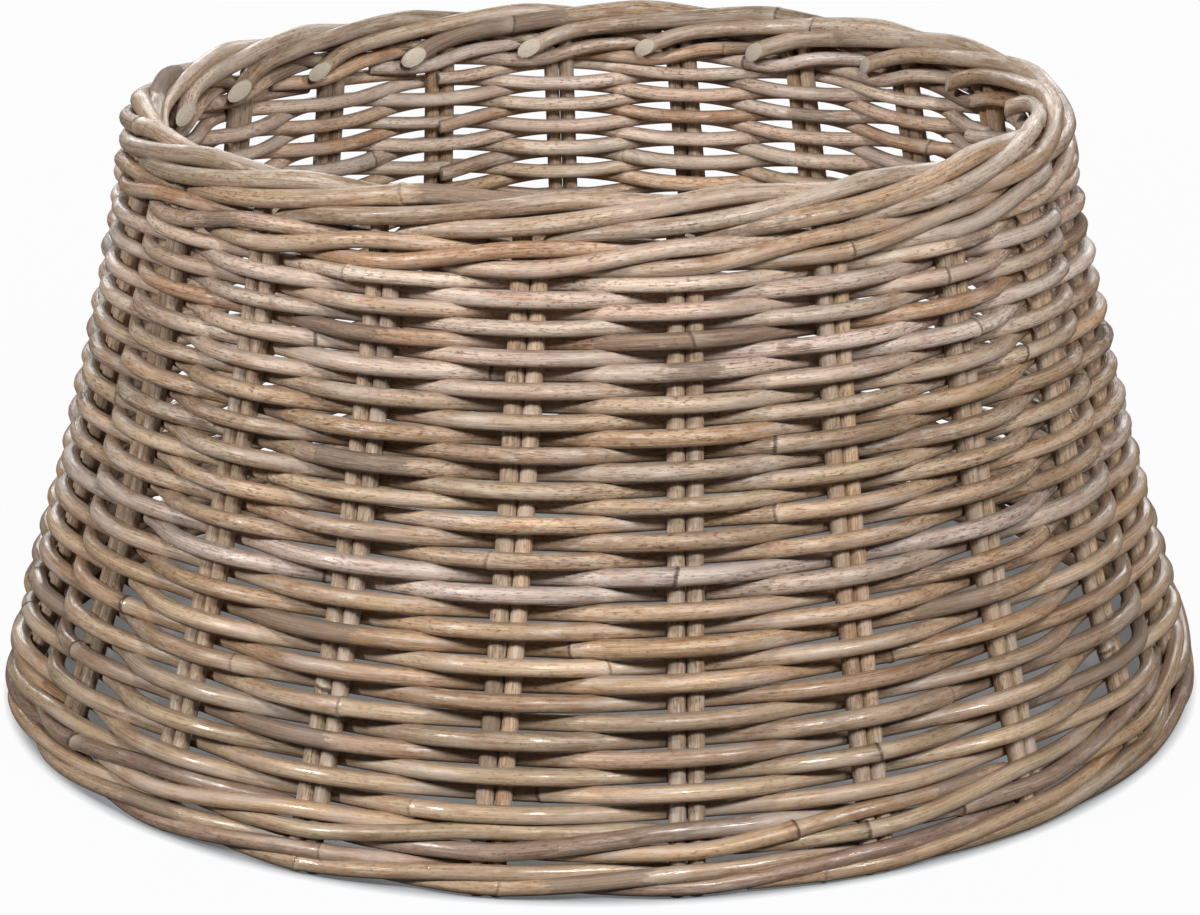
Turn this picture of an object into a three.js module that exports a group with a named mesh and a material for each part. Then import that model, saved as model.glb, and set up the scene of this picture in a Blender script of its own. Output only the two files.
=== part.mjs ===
// Woven collar for the foot of a Christmas tree. A round wall of rattan canes, open at the top and
// at the foot, stands on the floor around the tree's stand. Millimetres, +Z up. The origin lies on
// the floor in the middle of the collar, and the collar's front faces -Y.
import * as THREE from "three";

// Wall: the ring on which the stakes stand.
const footRadius = 280;
const crestRadius = 206;
const wallHollow = 8.2; // how far the wall bows in, halfway up
const footRise = 14; // the wall stands upright below this height

// Stakes: pairs of upright canes, one long and one short, side by side.
const pairCount = 21;
const shortStakeDiameter = 7.2;
const longStakeDiameter = 6.8;
const longStakeTipDiameter = 6.4;
const pairGap = 0.8;
const frontPairDegrees = 8.6; // where the first pair stands, from the front towards +X
const spacingDriftDegrees = 4.2; // how far the hand-set spacing has run on at the back
const leanDegrees = 2.8; // how far a stake turns about the collar from foot to crest
const shortStakeRise = 2; // what a short stake's cut end stands above the top wale

// Weavers: one spiral of canes, laid end to end, in front of one pair and behind the next.
const weaverRoundCount = 32;
const weaverCount = 8;
const lowWeaverDiameter = 7.15;
const highWeaverDiameter = 5.5;

// Wales: rounds of three canes, each in front of two pairs and behind one. Where the three canes
// cross, a layer needs some slack over the cane's own diameter.
const waleCaneCount = 3;
const footWaleDiameter = 6.2;
const footWaleSlack = 0.35;
const topWaleDiameter = 6;
const topWaleSlack = 0.45;

// Gaps: between canes that touch, between cane ends that meet, and under the lowest wale.
const clearance = 0.3;
const endGap = 0.6;
const footLift = 0.6;

// Flat sides of each cane, and the lengths that an upright stake is drawn in.
const weaverSides = 4;
const waleSides = 4;
const shortStakeSides = 6;
const longStakeSides = 5;
const stakeSteps = 6;

// The border run of a long stake, past its last upright point, set by hand. Each row holds how many
// bays the cane has gone round, how far out from the wall it lies, as a share of the seat in front
// of a stake, and how high its middle lies above the top wale, as a share of a layer of the border.
const borderRunShares = [
  [0.03, 0, -0.3],
  [0.14, 0, 0.42],
  [0.4, 0, 0.5],
  [0.8, 1, 0.5],
  [1.15, 1, 0.6],
  [1.6, 1, 1.35],
  [1.9, 0.9, 2.1],
  [2.2, 0.3, 2.7],
  [2.6, -0.15, 2.65],
  [3.0, -0.45, 2.1],
  [3.4, -0.55, 1.55],
  [3.8, -0.65, 1.15],
  [4.0, -1.0, 0.7],
  [4.22, -1.6, -0.1],
];

// Sizes that follow.
const radians = THREE.MathUtils.degToRad;
const turn = 2 * Math.PI;
const bay = turn / pairCount;
const backPair = -Math.floor(pairCount / 2); // where the spiral starts, at the back
const halfPair = (shortStakeDiameter + longStakeDiameter + pairGap) / 2;
const stakeReach = Math.max(shortStakeDiameter, longStakeDiameter) / 2;
const footWaleLayer = footWaleDiameter + footWaleSlack;
const topWaleLayer = topWaleDiameter + topWaleSlack;
const footWaleTop = footLift + 4 * footWaleLayer - footWaleSlack;
const spiralFoot = footWaleTop + clearance;
const spiralTop = weaverHeight(weaverRoundCount) + highWeaverDiameter / 2;
const topWaleFoot = spiralTop + clearance;
const topWaleTop = topWaleFoot + topWaleLayer + topWaleDiameter;
const borderLayer = longStakeTipDiameter + 2 * clearance;
const borderSeat = stakeReach + clearance + longStakeTipDiameter / 2;
const borderFoot = topWaleTop + clearance;
const crestShare = Math.max(...borderRunShares.map(([, , layers]) => layers));
const collarHeight = borderFoot + crestShare * borderLayer + longStakeTipDiameter / 2;

const finish = { roughness: 0.55, metalness: 0 };
const weaverLook = new THREE.MeshStandardMaterial({ color: 0xb29c7d, ...finish });
const stakeLook = new THREE.MeshStandardMaterial({ color: 0xa18a6b, ...finish });
const waleLook = new THREE.MeshStandardMaterial({ color: 0xb8a68c, ...finish });

// How thick the spiral is, and how high its middle lies, after some rounds from its start. It gets
// slimmer with the cube of the rounds, and each round lies on the one below it. The wall leans in,
// which leaves a narrow gap between rounds.
function weaverDiameter(rounds) {
  const slimming = (rounds / weaverRoundCount) ** 3;
  return lowWeaverDiameter + (highWeaverDiameter - lowWeaverDiameter) * slimming;
}

function weaverHeight(rounds) {
  const slimming = (rounds / weaverRoundCount) ** 3 / 4;
  const thickness = lowWeaverDiameter + (highWeaverDiameter - lowWeaverDiameter) * slimming;
  return spiralFoot + lowWeaverDiameter / 2 + rounds * thickness;
}

// The wall's radius at a height: a straight line from floor to crest, less a bow that is zero at
// both ends.
function wallRadius(height) {
  const share = Math.max(height, footRise) / collarHeight;
  const straight = footRadius + (crestRadius - footRadius) * share;
  return straight - 4 * wallHollow * share * (1 - share);
}

// Where pair number k stands, at a height. Pair 0 is at the front, and a number past the last pair
// is that of a pair in the next round.
function pairAngle(k, height) {
  const around = k * bay;
  const drift = (radians(spacingDriftDegrees) * (1 - Math.cos(around))) / 2;
  const lean = radians(leanDegrees) * (height / collarHeight - 1 / 2);
  return radians(frontPairDegrees) + around + drift + lean;
}

// How far the wall leans in at a height, as an angle. It stands upright at the very foot.
function wallLean(height) {
  if (height < footRise) return 0;
  const share = height / collarHeight;
  const narrowing = footRadius - crestRadius + 4 * wallHollow * (1 - 2 * share);
  return Math.atan(narrowing / collarHeight);
}

// A point of the wall near pair k: out from the wall and square to it, and along it towards the
// next pair.
function wallPoint(k, height, out = 0, along = 0) {
  const angle = pairAngle(k, height);
  const lean = wallLean(height);
  const radius = wallRadius(height) + out * Math.cos(lean);
  return new THREE.Vector3(
    radius * Math.sin(angle) + along * Math.cos(angle),
    -radius * Math.cos(angle) + along * Math.sin(angle),
    height + out * Math.sin(lean),
  );
}

// One cane as a closed surface: a polygon carried along points, with a corner turned away from the
// collar's axis. An end that is given a direction is cut square to it.
function cane(points, diameters, sides, startDirection, endDirection) {
  const last = points.length - 1;
  const corners = [];
  points.forEach((point, i) => {
    const before = points[Math.max(i - 1, 0)];
    const after = points[Math.min(i + 1, last)];
    const ahead = after.clone().sub(before).normalize();
    if (i === 0 && startDirection) ahead.copy(startDirection);
    if (i === last && endDirection) ahead.copy(endDirection);
    const outward = new THREE.Vector3(point.x, point.y, 0).normalize();
    outward.addScaledVector(ahead, -outward.dot(ahead)).normalize();
    const across = new THREE.Vector3().crossVectors(ahead, outward);
    for (let side = 0; side < sides; side += 1) {
      const angle = (side / sides) * turn;
      const corner = point.clone();
      corner.addScaledVector(outward, (Math.cos(angle) * diameters[i]) / 2);
      corner.addScaledVector(across, (Math.sin(angle) * diameters[i]) / 2);
      corners.push(corner.x, corner.y, corner.z);
    }
  });
  const faces = [];
  for (let side = 1; side < sides - 1; side += 1) {
    faces.push(0, side + 1, side);
    faces.push(last * sides, last * sides + side, last * sides + side + 1);
  }
  for (let i = 0; i < last; i += 1) {
    for (let side = 0; side < sides; side += 1) {
      const here = i * sides + side;
      const next = i * sides + ((side + 1) % sides);
      faces.push(here, next, next + sides);
      faces.push(here, next + sides, here + sides);
    }
  }
  const geometry = new THREE.BufferGeometry();
  geometry.setAttribute("position", new THREE.Float32BufferAttribute(corners, 3));
  geometry.setIndex(faces);
  geometry.computeVertexNormals();
  return geometry;
}

// The upright part of a stake, on one side of its pair, from the floor to a height.
function uprightPoints(k, along, top) {
  const points = [wallPoint(k, 0, 0, along)];
  for (let step = 0; step <= stakeSteps; step += 1) {
    const height = footRise + ((top - footRise) * step) / stakeSteps;
    points.push(wallPoint(k, height, 0, along));
  }
  return points;
}

// A short stake, cut level just above the top wale.
function shortStake(k) {
  const along = shortStakeDiameter / 2 - halfPair;
  const points = uprightPoints(k, along, topWaleTop + shortStakeRise);
  const diameters = points.map(() => shortStakeDiameter);
  const up = new THREE.Vector3(0, 0, 1);
  return cane(points, diameters, shortStakeSides, up, up);
}

// A long stake, which bends over above the top wale, passes in front of two pairs, goes over the
// crest and turns down inside to its cut end.
function longStake(k) {
  const along = halfPair - longStakeDiameter / 2;
  const points = uprightPoints(k, along, topWaleTop - longStakeDiameter);
  const diameters = points.map(() => longStakeDiameter);
  for (const [bays, seats, layers] of borderRunShares) {
    const height = borderFoot + layers * borderLayer;
    points.push(wallPoint(k + bays, height, seats * borderSeat, along));
    diameters.push(longStakeTipDiameter);
  }
  return cane(points, diameters, longStakeSides, new THREE.Vector3(0, 0, 1));
}

// One weaver of the spiral, from one pair to another, both counted from the spiral's start. It
// passes behind the even ones and in front of the odd ones, and both its ends lie behind a pair.
function weaver(from, to) {
  const points = [];
  const diameters = [];
  function lay(pair, along) {
    const rounds = pair / pairCount;
    const diameter = weaverDiameter(rounds);
    const seat = stakeReach + clearance + diameter / 2;
    const out = pair % 2 ? seat : -seat;
    points.push(wallPoint(backPair + pair, weaverHeight(rounds), out, along));
    diameters.push(diameter);
  }
  lay(from, endGap / 2);
  lay(from, halfPair);
  for (let pair = from + 1; pair < to; pair += 1) {
    lay(pair, -halfPair);
    lay(pair, halfPair);
  }
  lay(to, -halfPair);
  lay(to, -endGap / 2);
  return cane(points, diameters, weaverSides);
}

// One cane of a wale, once round from a pair behind which its two ends meet. Of each three pairs it
// passes low in front of the first, high in front of the second, and comes down behind the third.
// The low and the high place are given as functions of the rounds from the spiral's start.
function waleCane(start, diameter, low, high) {
  const seat = stakeReach + clearance + diameter / 2;
  const points = [];
  function lay(pair, along, out, highness) {
    const rounds = (pair - backPair) / pairCount;
    const height = low(rounds) + (high(rounds) - low(rounds)) * highness;
    points.push(wallPoint(pair, height, out * seat, along));
  }
  lay(start, endGap / 2, -1, 1 / 2);
  lay(start, halfPair, -1, 0);
  for (let pair = 1; pair < pairCount; pair += 1) {
    const place = pair % waleCaneCount;
    const out = place === 0 ? -1 : 1;
    lay(start + pair, -halfPair, out, place === 1 ? 0 : 1);
    lay(start + pair, halfPair, out, place === 2 ? 1 : 0);
  }
  lay(start + pairCount, -halfPair, -1, 1);
  lay(start + pairCount, -endGap / 2, -1, 1 / 2);
  return cane(points, points.map(() => diameter), waleSides);
}

const collar = new THREE.Group();

function add(name, number, geometry, material) {
  const mesh = new THREE.Mesh(geometry, material);
  mesh.name = `${name}_${String(number).padStart(2, "0")}`;
  collar.add(mesh);
}

for (let k = 0; k < pairCount; k += 1) {
  add("long_stake", k + 1, longStake(k), stakeLook);
  add("short_stake", k + 1, shortStake(k), stakeLook);
}

const pairsPerWeaver = (weaverRoundCount * pairCount) / weaverCount;
for (let i = 0; i < weaverCount; i += 1) {
  add("weaver", i + 1, weaver(i * pairsPerWeaver, (i + 1) * pairsPerWeaver), weaverLook);
}

// The lower foot wale lies level. The upper one climbs by a round of the spiral, which starts on it.
const footMiddle = footLift + footWaleDiameter / 2;
const upperFootLow = (rounds) => footMiddle + 2 * footWaleLayer + (lowWeaverDiameter * rounds) / 2;
const upperFootHigh = (rounds) => footMiddle + 3 * footWaleLayer + lowWeaverDiameter * rounds;

// The top wale's low place follows the spiral's last round, and it ends level under the border.
const topMiddle = topWaleFoot + topWaleDiameter / 2;
const topLow = (rounds) => topMiddle + highWeaverDiameter * (rounds - 1);
const topHigh = (rounds) => topMiddle + topWaleLayer + (highWeaverDiameter * (rounds - 1)) / 2;

for (let i = 0; i < waleCaneCount; i += 1) {
  const footStart = backPair + 1 - waleCaneCount + i;
  const lowerFoot = waleCane(
    i,
    footWaleDiameter,
    () => footMiddle,
    () => footMiddle + footWaleLayer,
  );
  const upperFoot = waleCane(footStart, footWaleDiameter, upperFootLow, upperFootHigh);
  const top = waleCane(backPair + i, topWaleDiameter, topLow, topHigh);
  add("lower_foot_cane", i + 1, lowerFoot, waleLook);
  add("upper_foot_cane", i + 1, upperFoot, waleLook);
  add("top_wale_cane", i + 1, top, waleLook);
}

export default collar;
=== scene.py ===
"""Woven rattan collar for the foot of a Christmas tree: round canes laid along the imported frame.

Every cane is one closed tube carried along its own path by numpy, in millimetres, and put in the
place of the plain solid that it stands for.
"""

import math

import bpy
import numpy as np
from mathutils import Matrix, Vector


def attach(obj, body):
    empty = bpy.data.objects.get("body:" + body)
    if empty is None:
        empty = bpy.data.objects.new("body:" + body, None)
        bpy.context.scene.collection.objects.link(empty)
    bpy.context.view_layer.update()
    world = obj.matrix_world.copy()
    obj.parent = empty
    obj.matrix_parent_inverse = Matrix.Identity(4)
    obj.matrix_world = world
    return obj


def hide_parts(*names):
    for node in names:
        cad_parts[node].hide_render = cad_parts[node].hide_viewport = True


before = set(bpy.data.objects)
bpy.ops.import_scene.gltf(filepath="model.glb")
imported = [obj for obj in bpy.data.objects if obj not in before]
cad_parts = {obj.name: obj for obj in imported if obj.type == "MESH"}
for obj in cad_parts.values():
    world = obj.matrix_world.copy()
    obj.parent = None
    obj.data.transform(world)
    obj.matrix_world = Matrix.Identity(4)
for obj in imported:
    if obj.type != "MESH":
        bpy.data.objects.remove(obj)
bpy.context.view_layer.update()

MM = 0.001

# Wall and ring of stakes, as in the part's source.
FOOT_RADIUS = 280.0
CREST_RADIUS = 206.0
WALL_HOLLOW = 8.2
FOOT_RISE = 14.0
COLLAR_HEIGHT = 283.83
PAIRS = 21
BAY = 2 * math.pi / PAIRS
BACK_PAIR = -10
HALF_PAIR = 7.4
FRONT_PAIR = math.radians(8.6)
SPACING_DRIFT = math.radians(4.2)
LEAN = math.radians(2.8)
LEVEL_FOOT = 8
LEVEL_FADE = 12
STAKE_REACH = 3.6
SHORT_ALONG = -3.8
LONG_ALONG = 4.0
SHORT_RADIUS = 3.95
LONG_RADIUS = 3.75
SHORT_ABOVE_WALE = 2
BEND_BELOW_WALE = 9
PATH_STEP = 3.0

# Spiral of weavers.
ROUNDS = 32
WEAVERS = 8
SPIRAL_FOOT = 26.75
LOW_WEAVER = 7.15
HIGH_WEAVER = 5.5
JOIN_BAYS = (28, 56)
PHOTO_WEAVER = 4
PHOTO_JOINS = (10, 46)
PHOTO_LATE = 0.14
STEPS_PER_BAY = 40
START_EARLY = (0.02, 0.09)
END_LATE = (0.03, 0.1)
WEAVER_SWELL = 1.01
MIDDLE_SWELL = 0.1
MIDDLE_ROUNDS = 13
TOP_SWELL = 0.09
TOP_ROUNDS = (21, 8)
BUTT = (0.02, 0.08)
CANE_SPREAD = 0.05
SEAT_LOSS = 0.06
SWAY_REST = 0.07
HEIGHT_WAVER = (0.5, 1.7)
OUT_WAVER = (0.35, 0.8)
TIP_LENGTH = 0.35
TIP_DROP = 1.2
TIP_TURN = 4.5

# Wales and border.
FOOT_WALE = 6.2
FOOT_LAYER = 6.55
FOOT_LIFT = 0.6
LOWER_FOOT_LIFT = (1.5, 0.8)
WALE_SWELL = 1.2
LOWER_SQUEEZE = 0.76
UPPER_SQUEEZE = 0.82
TOP_WALE = 6.0
TOP_HIGH_LIFT = 0.6
WALE_EASE = 9
WALE_POINTS = 60
WALE_ENDS = (0.3, 0.27)
TOP_WALE_ENDS = (0.2, 0.6)
FIRST_OUT = 0.6
LAST_OUT = 0.45
TOP_LAYER = 6.45
BORDER_LAYER = 7.0
BORDER_SEAT = 7.1

# The border run: bays along, seats out from the wall, and layers up from the border's foot.
BORDER_RUN = np.array(
    [
        [0.03, 0.0, -0.4],
        [0.12, 0.05, 0.08],
        [0.3, 0.35, 0.28],
        [0.6, 0.85, 0.43],
        [1.0, 1.0, 0.74],
        [1.5, 0.65, 1.3],
        [1.95, 0.35, 1.87],
        [2.15, 0.15, 2.12],
        [2.35, -0.1, 2.18],
        [2.7, -0.45, 1.98],
        [3.0, -0.72, 1.72],
        [3.4, -0.78, 1.35],
        [3.8, -0.85, 0.95],
        [4.0, -1.1, 0.55],
        [4.22, -1.65, -0.15],
    ]
)
RUN_SHIFT = 0.04
RUN_POINTS = 320
BEND_EASE = 4.5
RUN_EASE = 7
PAST_BEND = (285, 30)
RUN_WAVER = (0.5, 75)
THICKER_BY = (-0.1, 0.5)
THICKER_FROM = (245, 40)
BORDER_TONES_FROM = (250, 30)
CREST_SWELL = 0.45
CREST_AHEAD = 8
CREST_SPREAD = 16

# First seed of each kind of cane.
RUN_SEED = 500
SHORT_SEED = 1000
LONG_SEED = 2000
JOIN_SEED = 300
WEAVER_SEED = 3000
LOWER_FOOT_SEED = 4001
UPPER_FOOT_SEED = 4011
TOP_WALE_SEED = 4021

# Rings of a cane, its slow and its short swell as a share and a wave, its section and its ends.
SIDES = 14
RING_STEP = 3.4
LEAST_STEP = 0.15
SLOW_SWELL = (0.035, 260)
SHORT_SWELL = (0.014, 21)
OVAL = 0.028
THREE_SIDED = 0.012
TWIST = 0.004
ANY_TURN = 6.28
BEVEL = 0.3
BEVEL_SHARE = 0.93
OVAL_CUT = 7
CUT_AHEAD = 0.62
CUT_INWARD = 0.9
CUT_UP = 0.3

# Knots: how far apart, how far from an end, and the ridge, its fade, its mark and its slant.
KNOT_SPACING = (290, 680)
KNOT_START = 620
KNOT_MARGIN = 8
KNOT_RINGS = np.array([-2.4, -1.2, -0.6, -0.2, 0.2, 0.6, 1.2, 2.4])
KNOT_RIDGE = (0.15, 0.5)
KNOT_STEP = 0.7
KNOT_FADE = 14
KNOT_MARK = (0.35, 1)
KNOT_SLANT = (0.2, 1.3)
NO_KNOT = 100.0

# What the skins read from a cane.
GRAIN_STEP = 3.7
GRAIN_PLACES = 97
BARK_SHORT = (1.8, 70)
BARK_LONG = (0.6, 420)
BARK_LESS = 1.0
# Painted shade on a cane's low and high sides: where each side begins and how far on it is full,
# the high side's share, and its strength on weavers and on wales.
LOW_SIDE_SHADE = (0.7, 0.3)
HIGH_SIDE_SHADE = (0.85, 0.15)
HIGH_SHADE = 0.6
WEAVER_PAINTED_SHADE = 1.0
WALE_PAINTED_SHADE = 0.8

# How weathered the canes are, from 0 to 1. Weavers begin low, and gain from some round on.
STAKE_WEATHER = 0.7
LOWER_FOOT_WEATHER = 0.25
UPPER_FOOT_WEATHER = 0.15
TOP_WALE_WEATHER = 0.8
WEAVER_WEATHER = 0.1
WEATHER_FROM = 5
WEATHER_ROUNDS = 13
WEATHER_WAVER = (0.3, 3)
LEAST_WEATHER = 0.05

# Cane tones, as sRGB, and the warmth that all of them are given.
TONES = {
    "tan": (184, 157, 130),
    "pale tan": (200, 176, 149),
    "grey tan": (172, 153, 132),
    "olive": (166, 147, 121),
    "silver": (192, 176, 161),
    "lavender": (200, 184, 175),
    "rose grey": (174, 151, 131),
    "rose tan": (184, 154, 132),
    "orange tan": (190, 158, 124),
    "orange brown": (178, 142, 112),
    "brown": (150, 124, 101),
    "brown grey": (154, 134, 115),
    "purple brown": (134, 112, 102),
}

WARMTH = np.array([1.01, 0.985, 0.95])
TONE_WALK = 340
TONE_SPREAD = 0.35
TONE_SHORT = (0.3, 90)
TONE_LONG = (0.35, 420)
TONE_LIMITS = (0.01, 0.95)
OWN_ROUND = 0.6
MIDDLE_ROUND = 0.4
LOOSE_SHARE = 0.3
LOOSE_WAVER = (0.3, 300)
FOOT_LIGHT = 0.87
LIGHT_GAIN = 0.33
LIGHT_WAVER = (0.14, 120)
BLEND_RINGS = 8
BLEND_REACH = 3.5

STAKE_TONES = ["olive", "tan", "grey tan", "brown grey"]
BORDER_TONES = ["tan", "grey tan", "silver", "pale tan", "brown grey"]
WEAVER_TONES = ["grey tan", "tan", "pale tan", "rose tan", "brown grey"]
FOOT_TONES = [
    ["pale tan", "tan", "orange tan"],
    ["tan", "olive", "pale tan"],
    ["grey tan", "purple brown", "tan"],
]
TOP_TONES = [
    ["silver", "tan", "lavender"],
    ["tan", "orange brown", "pale tan"],
    ["rose tan", "silver", "tan"],
]

# The tone of each round of weavers, from the foot up.
ROUND_TONES = (
    "pale tan, pale tan, olive, rose grey, grey tan, pale tan, brown, orange tan, "
    "pale tan, orange tan, tan, tan, lavender, lavender, tan, tan, "
    "tan, pale tan, olive, brown grey, brown, orange tan, grey tan, grey tan, "
    "silver, lavender, lavender, orange brown, silver, rose tan, lavender, silver"
).split(", ")


def linear(name):
    """A tone as linear RGB: the sRGB curve taken off each of its numbers, times the warmth."""
    c = np.array(TONES[name]) / 255
    return np.where(c <= 0.04045, c / 12.92, ((c + 0.055) / 1.055) ** 2.4) * WARMTH


def ramp(at, start, length):
    """0 up to the start, 1 from the length past it on, and a straight line between."""
    return np.clip((at - start) / length, 0, 1)


# The wall -----------------------------------------------------------------------------------


def wall_radius(height):
    """Straight line from foot to crest, less a bow.

    The bow is 4 times the hollow, times the share of the height, times 1 less that share.
    """
    share = np.maximum(height, FOOT_RISE) / COLLAR_HEIGHT
    straight = FOOT_RADIUS + (CREST_RADIUS - FOOT_RADIUS) * share
    return straight - 4 * WALL_HOLLOW * share * (1 - share)


def pair_angle(k, height):
    """Angle of pair k: its even share of the turn, plus the drift of the spacing, plus the lean."""
    spacing = SPACING_DRIFT * (1 - np.cos(k * BAY)) / 2
    lean = LEAN * (height / COLLAR_HEIGHT - 0.5)
    return FRONT_PAIR + k * BAY + spacing + lean


def wall_lean(height):
    """The wall's angle from upright: arctangent of its narrowing over its height.

    It fades to none at the very foot, where the stakes are cut level.
    """
    share = height / COLLAR_HEIGHT
    narrowing = FOOT_RADIUS - CREST_RADIUS + 4 * WALL_HOLLOW * (1 - 2 * share)
    return np.arctan(narrowing / COLLAR_HEIGHT) * ramp(height, LEVEL_FOOT, LEVEL_FADE)


def wall_points(k, height, out, along):
    """Points of the wall at pair number k, moved out from it and along it by two offsets."""
    lean = wall_lean(height)
    angle = pair_angle(k, height)
    radius = wall_radius(height) + out * np.cos(lean)
    x = radius * np.sin(angle) + along * np.cos(angle)
    y = -radius * np.cos(angle) + along * np.sin(angle)
    return np.stack([x, y, height + out * np.sin(lean) + 0 * x], axis=1)


def weaver_diameter(rounds):
    """Low diameter, less the slimming, which grows with the cube of the rounds."""
    return LOW_WEAVER + (HIGH_WEAVER - LOW_WEAVER) * (rounds / ROUNDS) ** 3


def weaver_height(rounds):
    """The sum of the rounds' diameters below, from the spiral's foot."""
    slimming = (rounds / ROUNDS) ** 3 / 4
    row = LOW_WEAVER + (HIGH_WEAVER - LOW_WEAVER) * slimming
    return SPIRAL_FOOT + LOW_WEAVER / 2 + rounds * row


SPIRAL_TOP = float(weaver_height(ROUNDS)) + HIGH_WEAVER / 2
TOP_WALE_FOOT = SPIRAL_TOP + 0.3
TOP_WALE_TOP = TOP_WALE_FOOT + TOP_LAYER + TOP_WALE
BORDER_FOOT = TOP_WALE_TOP + 0.3


# Paths --------------------------------------------------------------------------------------


def drift(rng, s, wave):
    """Smooth random curve over s, about -1 to 1: random heights a wave apart, joined by cosines."""
    count = int(np.ptp(s) / wave) + 3
    heights = rng.uniform(-1, 1, count)
    place = (s - s.min()) / wave
    i = np.floor(place).astype(int)
    t = (1 - np.cos(math.pi * (place - i))) / 2
    return heights[i] * (1 - t) + heights[i + 1] * t


def waver(rng, s, size, wave):
    """The smooth random curve, at a given size."""
    return size * drift(rng, s, wave)


def lengths(path):
    """Distance along a path at each of its points."""
    return np.concatenate([[0], np.cumsum(np.linalg.norm(np.diff(path, axis=0), axis=1))])


def eased(path, reach):
    """The path at 1 mm steps, averaged over a bell curve of the given reach, with its ends kept."""
    s = lengths(path)
    even = np.linspace(0, s[-1], int(s[-1]) + 2)
    dense = np.stack([np.interp(even, s, path[:, a]) for a in range(3)], axis=1)
    pad = int(3 * reach) + 1
    before = 2 * dense[0] - dense[pad:0:-1]
    after = 2 * dense[-1] - dense[-2 : -pad - 2 : -1]
    long = np.concatenate([before, dense, after])
    bell = np.exp(-0.5 * (np.arange(-pad, pad + 1) / reach) ** 2)
    bell /= bell.sum()
    out = [np.convolve(long[:, a], bell, "valid") for a in range(3)]
    return np.stack(out, axis=1)


def ring_places(total, last, knot_at):
    """Distances of the rings along a cane: one every few millimetres, and closer at each knot."""
    s = np.concatenate(
        [
            [0, BEVEL],
            np.arange(1.5, last, RING_STEP),
            (knot_at[:, None] + KNOT_RINGS).ravel(),
            [last, total],
        ]
    )
    s = np.unique(np.round(s[(s >= 0) & ((s <= last) | (s == total))], 3))
    s = s[np.concatenate([[True], np.diff(s) > LEAST_STEP])]
    s[-1] = total
    return s


def directions(path, s_path, s):
    """The rings' centres, and the directions ahead, outward and across at each.

    Ahead is the slope of the path. Outward is the way from the collar's axis, less its share of
    ahead, and across is their cross product.
    """
    centre = np.stack([np.interp(s, s_path, path[:, a]) for a in range(3)], axis=1)
    ahead = np.gradient(path, s_path, axis=0)
    ahead = np.stack([np.interp(s, s_path, ahead[:, a]) for a in range(3)], axis=1)
    ahead /= np.linalg.norm(ahead, axis=1)[:, None]
    outward = centre * [1, 1, 0]
    outward -= ahead * np.sum(outward * ahead, axis=1)[:, None]
    outward /= np.linalg.norm(outward, axis=1)[:, None]
    return centre, ahead, outward, np.cross(ahead, outward)


def tube_mesh(name, vertices, rings):
    """A closed tube: four-sided faces from ring to ring, and a fan from a pole at each end.

    The poles are the first and the last of the vertices, which are in millimetres.
    """
    side = np.arange(SIDES)
    row = 1 + np.arange(rings - 1)[:, None] * SIDES
    here = row + side
    next_side = row + (side + 1) % SIDES
    quads = np.stack([here, next_side, next_side + SIDES, here + SIDES], axis=2).reshape(-1, 4)
    first = np.stack([0 * side, 1 + (side + 1) % SIDES, 1 + side], axis=1)
    top = 1 + (rings - 1) * SIDES
    pole = len(vertices) - 1
    final = np.stack([0 * side + pole, top + side, top + (side + 1) % SIDES], axis=1)
    corners = np.concatenate([quads.ravel(), first.ravel(), final.ravel()]).astype(np.int32)
    sizes = np.concatenate([np.full(len(quads), 4), np.full(2 * SIDES, 3)])
    starts = np.concatenate([[0], np.cumsum(sizes)[:-1]]).astype(np.int32)

    mesh = bpy.data.meshes.new(name)
    mesh.vertices.add(len(vertices))
    mesh.loops.add(len(corners))
    mesh.polygons.add(len(sizes))
    mesh.vertices.foreach_set("co", (vertices * MM).astype(np.float32).ravel())
    mesh.polygons.foreach_set("loop_start", starts)
    mesh.loops.foreach_set("vertex_index", corners)
    mesh.update(calc_edges=True)
    mesh.shade_smooth()
    return mesh


def per_vertex(values):
    """Values by ring, given to each vertex of the ring, the two end rings and the two poles."""
    values = np.asarray(values, dtype=np.float64)
    body = np.repeat(values, SIDES, axis=0)
    head = np.repeat(values[:1], SIDES + 1, axis=0)
    tail = np.repeat(values[-1:], SIDES + 1, axis=0)
    return np.concatenate([head, body, tail]).astype(np.float32)


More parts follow.
